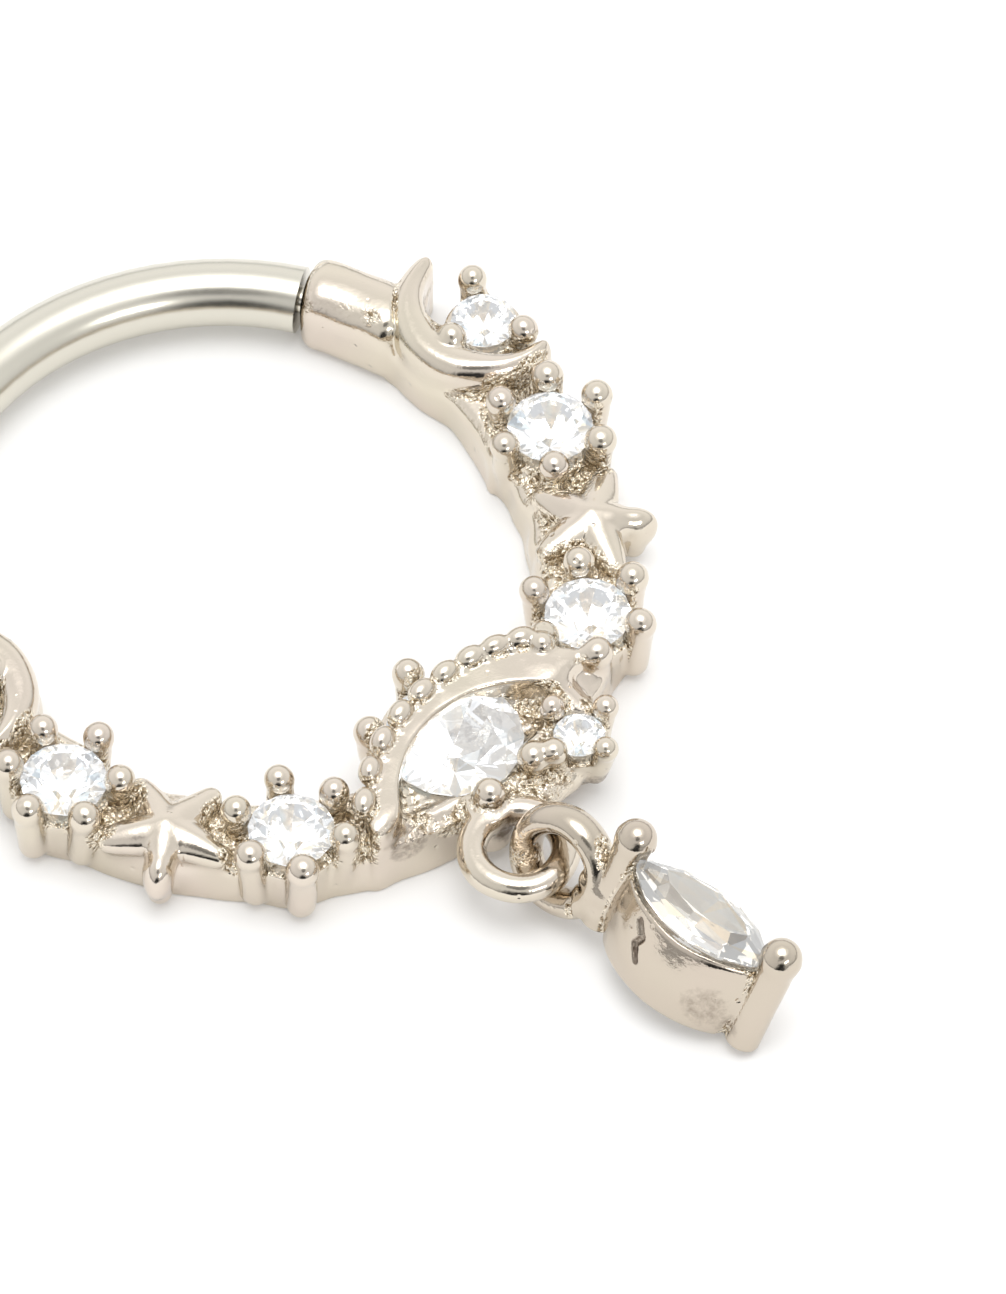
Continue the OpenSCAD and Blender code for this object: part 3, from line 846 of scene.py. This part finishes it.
def cut_to_planes(name, planes, material, place):
    """A stone bounded by planes, as a lapidary cuts it. A plane is its outward direction and its distance."""
    n = np.array([tuple(p[0]) for p in planes])
    n /= np.linalg.norm(n, axis=1, keepdims=True)
    away = np.array([p[1] for p in planes])
    three = np.array(list(itertools.combinations(range(len(n)), 3)))
    three = three[np.abs(np.linalg.det(n[three])) > 1e-6]
    met = np.linalg.solve(n[three], away[three][:, :, None])[:, :, 0]
    corners = []
    for p in met[(met @ n.T <= away + 1e-6).all(1)]:
        if all(np.abs(p - c).max() > SAME_CORNER for c in corners):
            corners.append(p)
    corners = np.array(corners)
    faces = []
    for direction, far in zip(n, away):
        on = np.flatnonzero(np.abs(corners @ direction - far) < 2 * SAME_CORNER)
        if len(on) > 2:
            across = np.linalg.svd(direction[None, :])[2][1:]
            if np.cross(across[0], across[1]) @ direction < 0:
                across = across[::-1]
            flat = (corners[on] - corners[on].mean(0)) @ across.T
            faces.append([int(i) for i in on[np.argsort(np.arctan2(flat[:, 1], flat[:, 0]))]])
    mesh = bpy.data.meshes.new(name)
    mesh.from_pydata([tuple(c) for c in corners], [], faces)
    mesh.transform(place @ Matrix.Scale(MM, 4))
    mesh.materials.append(material)
    mesh.update()
    obj = bpy.data.objects.new(name, mesh)
    bpy.context.scene.collection.objects.link(obj)
    return obj


def facet(azimuth, slope, r, z=0.0):
    """The plane of a facet at a slope up or down from the girdle, which it meets at radius r and height z."""
    a, s = math.radians(azimuth), math.radians(slope)
    across = math.sin(abs(s))
    n = Vector((math.cos(a) * across, math.sin(a) * across, math.copysign(math.cos(s), slope)))
    edge = Vector((math.cos(a) * r, math.sin(a) * r, z))
    return n, n.dot(edge)


# A round brilliant's crown height and half its girdle's, as shares of its diameter
CROWN = 0.145
HALF_GIRDLE = 0.012


def round_brilliant(d, turn=0.0):
    """Table, eight bezels, sixteen upper and lower halves, eight stars and eight pavilion mains."""
    r = d / 2
    girdle = HALF_GIRDLE * d
    table_z = CROWN * d + girdle
    planes = [(Vector((0, 0, 1)), table_z)]
    for k in range(16):
        a = turn + 22.5 * k
        planes.append(facet(a + 11.25, 90, r * 0.997))
        planes.append(facet(a + 11.25, 40, r * 0.99, girdle))
        planes.append(facet(a + 11.25, -42.3, r * 0.99, -girdle))
    for k in range(8):
        a = turn + 45 * k
        planes.append(facet(a, 33.5, r, girdle))
        planes.append(facet(a, -40.8, r, -girdle))
        planes.append(facet(a + 22.5, 22, 0.71 * r, table_z - 0.035 * d))
    return planes


def marquise_cut(length, width):
    """A pointed oval with a table, two rows of crown facets and two of pavilion facets along each side."""
    big = (length * length + width * width) / (4 * width)
    half = math.degrees(math.asin(length / 2 / big))
    girdle = 0.02
    table_z = 0.27
    planes = [(Vector((0, 0, 1)), table_z)]
    for side in (0, 180):
        centre = Vector((-(big - width / 2) if side == 0 else big - width / 2, 0, 0))
        for k in range(7):
            a = side - half + 2 * half * k / 6
            for slope, r, z in ((90, big, 0), (38, big, girdle), (-44, big, -girdle)):
                n, away = facet(a, slope, r, z)
                planes.append((n, away + n.dot(centre)))
        for k in range(4):
            a = side - half * 0.8 + 1.6 * half * k / 3
            for slope, r, z in ((26, big - 0.17, girdle + 0.12), (-33, big - 0.3, -girdle - 0.27)):
                n, away = facet(a, slope, r, z)
                planes.append((n, away + n.dot(centre)))
    return planes


def stone(cad_node, planes, material, place):
    """Cuts the stone that stands for a CAD node."""
    piece = cut_to_planes("cut_" + cad_node, planes, material, place)
    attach(piece, "front")
    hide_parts(cad_node)


# Materials

def linear(hex_colour):
    """An sRGB hex colour as the linear colour that a shader takes."""
    parts = [int(hex_colour[i:i + 2], 16) / 255 for i in (1, 3, 5)]
    return tuple(c / 12.92 if c <= 0.04045 else ((c + 0.055) / 1.055) ** 2.4 for c in parts) + (1.0,)


def node(material, kind, links=(), **settings):
    """Adds a shader node. links join other nodes' sockets to it, and settings are its properties.

    The setting sockets gives the values of its own inputs by name.
    """
    tree = material.node_tree
    made = tree.nodes.new(kind)
    sockets = settings.pop("sockets", {})
    for key, value in settings.items():
        setattr(made, key, value)
    for key, value in sockets.items():
        made.inputs[key].default_value = value
    for source, output, target in links:
        tree.links.new(source.outputs[output], made.inputs[target])
    return made


def new_material(name):
    material = bpy.data.materials.new(name)
    material.use_nodes = True
    material.node_tree.nodes.clear()
    return material


def finish_material(material, shader):
    node(material, "ShaderNodeOutputMaterial", [(shader, "BSDF", "Surface")])
    return material


def cast_silver_tone(name, pink, yellow):
    """Rhodium-plated brass, cast and tumbled: a warm pale mirror on the heights, gold grit in the pits."""
    m = new_material(name)
    place = node(m, "ShaderNodeTexCoord")
    here = [(place, "Object", "Vector")]
    shelter = node(m, "ShaderNodeAttribute", attribute_name="shelter")
    stain_and_shade = node(m, "ShaderNodeAttribute", attribute_name="stain_and_shade")

    # Investment grit is about 0.04 mm across; drawn at 0.07 mm so that it shows
    grit = node(m, "ShaderNodeTexNoise", here,
                sockets={"Scale": 1 / (0.07 * MM), "Detail": 2.0, "Roughness": 0.6})
    # Hand-tumbled plating swells over about 0.5 mm and varies in tone over about 1.5 mm
    swells = node(m, "ShaderNodeTexNoise", here, sockets={"Scale": 1 / (0.5 * MM), "Detail": 2.0})
    tones = node(m, "ShaderNodeTexNoise", here, sockets={"Scale": 1 / (1.5 * MM), "Detail": 1.0})
    # Casting pores are 0.05 to 0.1 mm across and lie a millimetre or less apart
    pores = node(m, "ShaderNodeTexVoronoi", here, sockets={"Scale": 1 / (0.45 * MM)})
    pore = node(m, "ShaderNodeMapRange", [(pores, "Distance", "Value")],
                sockets={"From Min": 0.06, "From Max": 0.13, "To Min": 0.0, "To Max": 1.0})

    # Plated grains that the tumbling media could not reach, each bright or brown by chance
    grains = node(m, "ShaderNodeTexVoronoi", here, sockets={"Scale": 1 / (0.07 * MM)})
    chance = node(m, "ShaderNodeSeparateColor", [(grains, "Color", "Color")])
    grain = node(m, "ShaderNodeValToRGB", [(chance, "Red", "Fac")])
    stops = grain.color_ramp.elements
    stops[0].position, stops[0].color = 0.15, linear("#9c8a70")
    stops[1].position, stops[1].color = 0.45, linear("#f2e8d6")

    # Where they lie: in the shelter of the forms, with an uneven border
    border = node(m, "ShaderNodeMath", [(shelter, "Fac", 0), (swells, "Fac", 1)], operation="MULTIPLY")
    pit = node(m, "ShaderNodeMapRange", [(border, "Value", "Value")], interpolation_type="SMOOTHSTEP",
               sockets={"From Min": 0.1, "From Max": 0.3})
    # The plating bath's stains, and the painted shade in the lug's recess and along the drop's crack, are
    # brown, smooth and duller, and mottled about every 0.15 mm
    mottle = node(m, "ShaderNodeTexNoise", here,
                  sockets={"Scale": 1 / (0.15 * MM), "Detail": 3.0, "Roughness": 0.7})
    stain_and_shade_mottled = node(m, "ShaderNodeMath", [(stain_and_shade, "Fac", 0), (mottle, "Fac", 1)], operation="MULTIPLY")
    blotch = node(m, "ShaderNodeMapRange", [(stain_and_shade_mottled, "Value", "Value")],
                  sockets={"From Min": 0.12, "From Max": 0.4})
    gritty = node(m, "ShaderNodeMath", [(pit, "Result", 0), (blotch, "Result", 1)],
                  operation="SUBTRACT", use_clamp=True)

    plate = node(m, "ShaderNodeMix", [(tones, "Fac", "Factor")], data_type="RGBA")
    plate.inputs["A"].default_value = linear(pink)
    plate.inputs["B"].default_value = linear(yellow)
    clean = node(m, "ShaderNodeMix", [(gritty, "Value", "Factor")], data_type="RGBA")
    m.node_tree.links.new(plate.outputs["Result"], clean.inputs["A"])
    m.node_tree.links.new(grain.outputs["Color"], clean.inputs["B"])
    # Stains and painted shade: the metal turns a dull brown
    colour = node(m, "ShaderNodeMix", [(blotch, "Result", "Factor")], data_type="RGBA")
    m.node_tree.links.new(clean.outputs["Result"], colour.inputs["A"])
    colour.inputs["B"].default_value = linear("#7d7064")

    polish = node(m, "ShaderNodeMapRange", [(pit, "Result", "Value")],
                  sockets={"To Min": 0.11, "To Max": 0.16})
    rough = node(m, "ShaderNodeMath", [(blotch, "Result", 0), (polish, "Result", 2)],
                 operation="MULTIPLY_ADD")
    rough.inputs[1].default_value = 0.25

    # Relief, from the finest to the broadest: grit, grains, pores and swells
    depth = node(m, "ShaderNodeMapRange", [(gritty, "Value", "Value")],
                 sockets={"To Min": 0.06, "To Max": 0.9})
    bump = node(m, "ShaderNodeBump", [(grit, "Fac", "Height"), (depth, "Result", "Strength")],
                sockets={"Distance": 0.05 * MM})
    deep = node(m, "ShaderNodeMapRange", [(gritty, "Value", "Value")],
                sockets={"To Min": 0.0, "To Max": 0.8})
    lumps = node(m, "ShaderNodeBump",
                 [(grains, "Distance", "Height"), (deep, "Result", "Strength"), (bump, "Normal", "Normal")],
                 sockets={"Distance": 0.05 * MM}, invert=True)
    porous = node(m, "ShaderNodeBump", [(pore, "Result", "Height"), (lumps, "Normal", "Normal")],
                  sockets={"Distance": 0.02 * MM, "Strength": 0.6})
    swell = node(m, "ShaderNodeBump", [(swells, "Fac", "Height"), (porous, "Normal", "Normal")],
                 sockets={"Distance": 0.02 * MM, "Strength": 0.6})
    metal = node(m, "ShaderNodeBsdfPrincipled",
                 [(swell, "Normal", "Normal"), (rough, "Value", "Roughness")], sockets={"Metallic": 1.0})
    m.node_tree.links.new(colour.outputs["Result"], metal.inputs["Base Color"])
    return finish_material(m, metal)


def polished_steel():
    """Surgical steel wire, drawn and buffed: a smooth grey mirror, very slightly uneven in its shine."""
    m = new_material("polished_steel")
    place = node(m, "ShaderNodeTexCoord")
    # Buffing marks are finer than 0.05 mm; drawn at 0.15 mm so that they show
    buffing = node(m, "ShaderNodeTexNoise", [(place, "Object", "Vector")],
                   sockets={"Scale": 1 / (0.15 * MM), "Detail": 2.0})
    rough = node(m, "ShaderNodeMapRange", [(buffing, "Fac", "Value")],
                 sockets={"To Min": 0.19, "To Max": 0.25})
    metal = node(m, "ShaderNodeBsdfPrincipled", [(rough, "Result", "Roughness")],
                 sockets={"Metallic": 1.0, "Base Color": linear("#d6d2c6")})
    return finish_material(m, metal)


def cubic_zirconia(name, glow, cool="#cfe6f6", clear="#ffffff", warm="#fdecc9"):
    """Cut cubic zirconia: clear and full of sparkle, and tinted facet by facet with faint blues and golds as
    painted fire.

    It bends light hard. The glow stands for the light that a setting throws back into its stone.
    """
    m = new_material(name)
    place = node(m, "ShaderNodeTexCoord")
    # Painted fire: one tint for each facet, by the way it faces, standing for the colours that the cut splits
    # light into
    painted_fire = node(m, "ShaderNodeTexWhiteNoise", [(place, "Normal", "Vector")], noise_dimensions="3D")
    tint = node(m, "ShaderNodeValToRGB", [(painted_fire, "Value", "Fac")])
    stops = tint.color_ramp.elements
    stops[0].position, stops[0].color = 0.0, linear(cool)
    stops[1].position, stops[1].color = 1.0, linear(warm)
    for position in (0.3, 0.75):
        stops.new(position).color = linear(clear)
    gem = node(m, "ShaderNodeBsdfPrincipled", [(tint, "Color", "Base Color")],
               sockets={"Roughness": 0.0, "IOR": 2.16, "Transmission Weight": 1.0,
                        "Emission Color": linear("#fafcff"), "Emission Strength": glow})
    return finish_material(m, gem)


def opal_acrylic():
    """Matt white acrylic over a dim lamp: the faint light from below thins the shadows."""
    m = new_material("opal_acrylic")
    sheet = node(m, "ShaderNodeBsdfPrincipled",
                 sockets={"Base Color": linear("#f8f8f8"), "Roughness": 0.9, "Specular IOR Level": 0.1,
                          "Emission Color": linear("#fffdf9"), "Emission Strength": 0.06})
    return finish_material(m, sheet)


# Camera, floor and light

# The photograph's view: where it looks, from which direction, and how far away
TARGET = Vector((2.140, -5.048, 0.75)) * MM
BACK = Vector((-0.389, -0.433, 0.813)).normalized()
DISTANCE = 300 * MM
FOCAL_LENGTH = 477.0
SENSOR = 36.0


def add_camera():
    data = bpy.data.cameras.new("camera")
    data.lens = FOCAL_LENGTH
    data.sensor_width = SENSOR
    data.clip_start = 0.005
    data.clip_end = 5.0
    camera = bpy.data.objects.new("camera", data)
    camera.location = TARGET + BACK * DISTANCE
    camera.rotation_euler = BACK.to_track_quat("Z", "Y").to_euler()
    bpy.context.scene.collection.objects.link(camera)
    bpy.context.scene.camera = camera


def add_floor(material):
    half = 0.25
    corners = [(-half, -half, 0), (half, -half, 0), (half, half, 0), (-half, half, 0)]
    mesh = bpy.data.meshes.new("floor")
    mesh.from_pydata(corners, [], [(0, 1, 2, 3)])
    mesh.materials.append(material)
    floor = bpy.data.objects.new("floor", mesh)
    bpy.context.scene.collection.objects.link(floor)


def add_softbox(name, direction, away, size, power, colour):
    data = bpy.data.lights.new(name, "AREA")
    data.shape = "RECTANGLE"
    data.size, data.size_y = size
    data.energy = power
    data.color = linear(colour)[:3]
    light = bpy.data.objects.new(name, data)
    direction = Vector(direction).normalized()
    light.location = direction * away
    light.rotation_euler = direction.to_track_quat("Z", "Y").to_euler()
    bpy.context.scene.collection.objects.link(light)


# The studio tent's brightness by the sine of the height above the horizon
TENT = ((0.0, 0.45), (0.08, 0.55), (0.2, 0.9), (0.5, 0.97), (0.8, 0.9), (0.92, 1.3), (0.975, 3.4))
TENT_BRIGHTEST = 3.4

# Which way its back wall lies, and how bright it is in front and at the back
BACK_WALL = (0.67, 0.74, 0)
FRONT_TO_BACK = (0.81, 1.26)

# Where it is dark: the room through the tent's open front, and the camera. Columns: the direction there as
# X, Y and Z, the cosine of the angle from it where the dark starts and where it is full, and the light left.
DARK = ((-0.7, -0.7, 0.12, 0.9, 0.97, 0.05),
        (-0.36, -0.4, 0.84, 0.96, 0.985, 0.3))


def add_world():
    """A white studio tent, brighter at the back, open in front where the camera and the dark room show."""
    world = bpy.data.worlds.new("tent")
    world.use_nodes = True
    world.node_tree.nodes.clear()
    place = node(world, "ShaderNodeTexCoord")
    split = node(world, "ShaderNodeSeparateXYZ", [(place, "Generated", "Vector")])
    ramp = node(world, "ShaderNodeValToRGB", [(split, "Z", "Fac")])
    stops = ramp.color_ramp.elements
    for i, (height, bright) in enumerate(TENT):
        stop = stops[i] if i < 2 else stops.new(height)
        stop.position = height
        stop.color = (*[bright / TENT_BRIGHTEST] * 3, 1)
    towards = [(place, "Generated", 0)]
    behind = node(world, "ShaderNodeVectorMath", towards, operation="DOT_PRODUCT")
    behind.inputs[1].default_value = BACK_WALL
    light = node(world, "ShaderNodeMapRange", [(behind, "Value", "Value")],
                 sockets={"From Min": -1.0, "From Max": 1.0,
                          "To Min": FRONT_TO_BACK[0], "To Max": FRONT_TO_BACK[1]})
    output = "Result"
    for x, y, z, starts, full, left in DARK:
        near = node(world, "ShaderNodeVectorMath", towards, operation="DOT_PRODUCT")
        near.inputs[1].default_value = Vector((x, y, z)).normalized()
        gap = node(world, "ShaderNodeMapRange", [(near, "Value", "Value")],
                   sockets={"From Min": starts, "From Max": full, "To Min": 1.0, "To Max": left})
        light = node(world, "ShaderNodeMath", [(light, output, 0), (gap, "Result", 1)], operation="MULTIPLY")
        output = "Value"
    strength = node(world, "ShaderNodeMath", [(light, "Value", 0)], operation="MULTIPLY")
    strength.inputs[1].default_value = TENT_BRIGHTEST
    tent = node(world, "ShaderNodeBackground", [(ramp, "Color", "Color"), (strength, "Value", "Strength")])
    node(world, "ShaderNodeOutputWorld", [(tent, "Background", "Surface")])
    bpy.context.scene.world = world


CASTING = cast_silver_tone("cast_silver_tone", "#dacdc3", "#d8d1be")
# The drop's copy of the same plating is a shade darker: painted shade
SHADED_DROP_CASTING = cast_silver_tone("shaded_drop_silver_tone", "#cabdb0", "#c8bfae")
STEEL = polished_steel()
# The number after each name is the stone's painted glow; the eye's stone, half under its lid, has the most
ZIRCONIA = cubic_zirconia("cubic_zirconia", 0.09)
BRIGHTER_GLOWING_ZIRCONIA = cubic_zirconia("brighter_glowing_cubic_zirconia", 0.14)
DROP_ZIRCONIA = cubic_zirconia("warm_cubic_zirconia", 0.07, "#e9ecea", "#f2ecdf", "#f6deb2")

add_camera()
add_floor(opal_acrylic())
add_world()
add_softbox("key", (-0.16, -0.83, 0.48), 0.5, (0.16, 0.1), 0.28, "#fffefb")
bpy.context.scene.view_settings.view_transform = "Standard"

front = cast("front_casting", cast_front_wax(CELL), CASTING, raw_spots=RAW_SPOTS,
             tumbled_spots=TUMBLED_SPOTS, stains_and_shade=STAINS_AND_SHADE, cleaned_to=0.4)
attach(front, "front")
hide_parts("cast_front")

drop = cast("drop_casting", drop_wax(DROP_CELL), SHADED_DROP_CASTING, drop_matrix(),
            raw_spots=DROP_RAW_SPOTS, stains_and_shade=DROP_STAINS_AND_SHADE)
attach(drop, "front")
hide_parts("drop_setting")

for i, (angle, _) in enumerate(ROW_STONES):
    place = moved_to(*row_place(angle), ROW_GIRDLE_Z)
    stone(f"row_stone_{i + 1}", round_brilliant(ROW_STONE_D, 10 * i), ZIRCONIA, place)
for i, at in enumerate((MOON_STONE_AT, MOON_2_STONE_AT)):
    place = moved_to(*at, MOON_GIRDLE_Z)
    stone(f"moon_stone_{i + 1}", round_brilliant(MOON_STONE_D, 7), ZIRCONIA, place)
stone("eye_stone", round_brilliant(EYE_STONE_D, 5), BRIGHTER_GLOWING_ZIRCONIA, moved_to(*EYE_AT, EYE_GIRDLE_Z))
stone("side_stone", round_brilliant(SIDE_STONE_D, 14), ZIRCONIA, moved_to(*SIDE_AT, SIDE_GIRDLE_Z))
in_basket = moved_to(0, -DROP_NECK - DROP_SPAN / 2, DROP_GIRDLE_Z)
stone("drop_stone", marquise_cut(*MARQUISE), DROP_ZIRCONIA, drop_matrix() @ in_basket)

for name in ("bar", "hinge_pin"):
    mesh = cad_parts[name].data
    for i in range(len(mesh.materials)):
        mesh.materials[i] = STEEL
    if not mesh.materials:
        mesh.materials.append(STEEL)
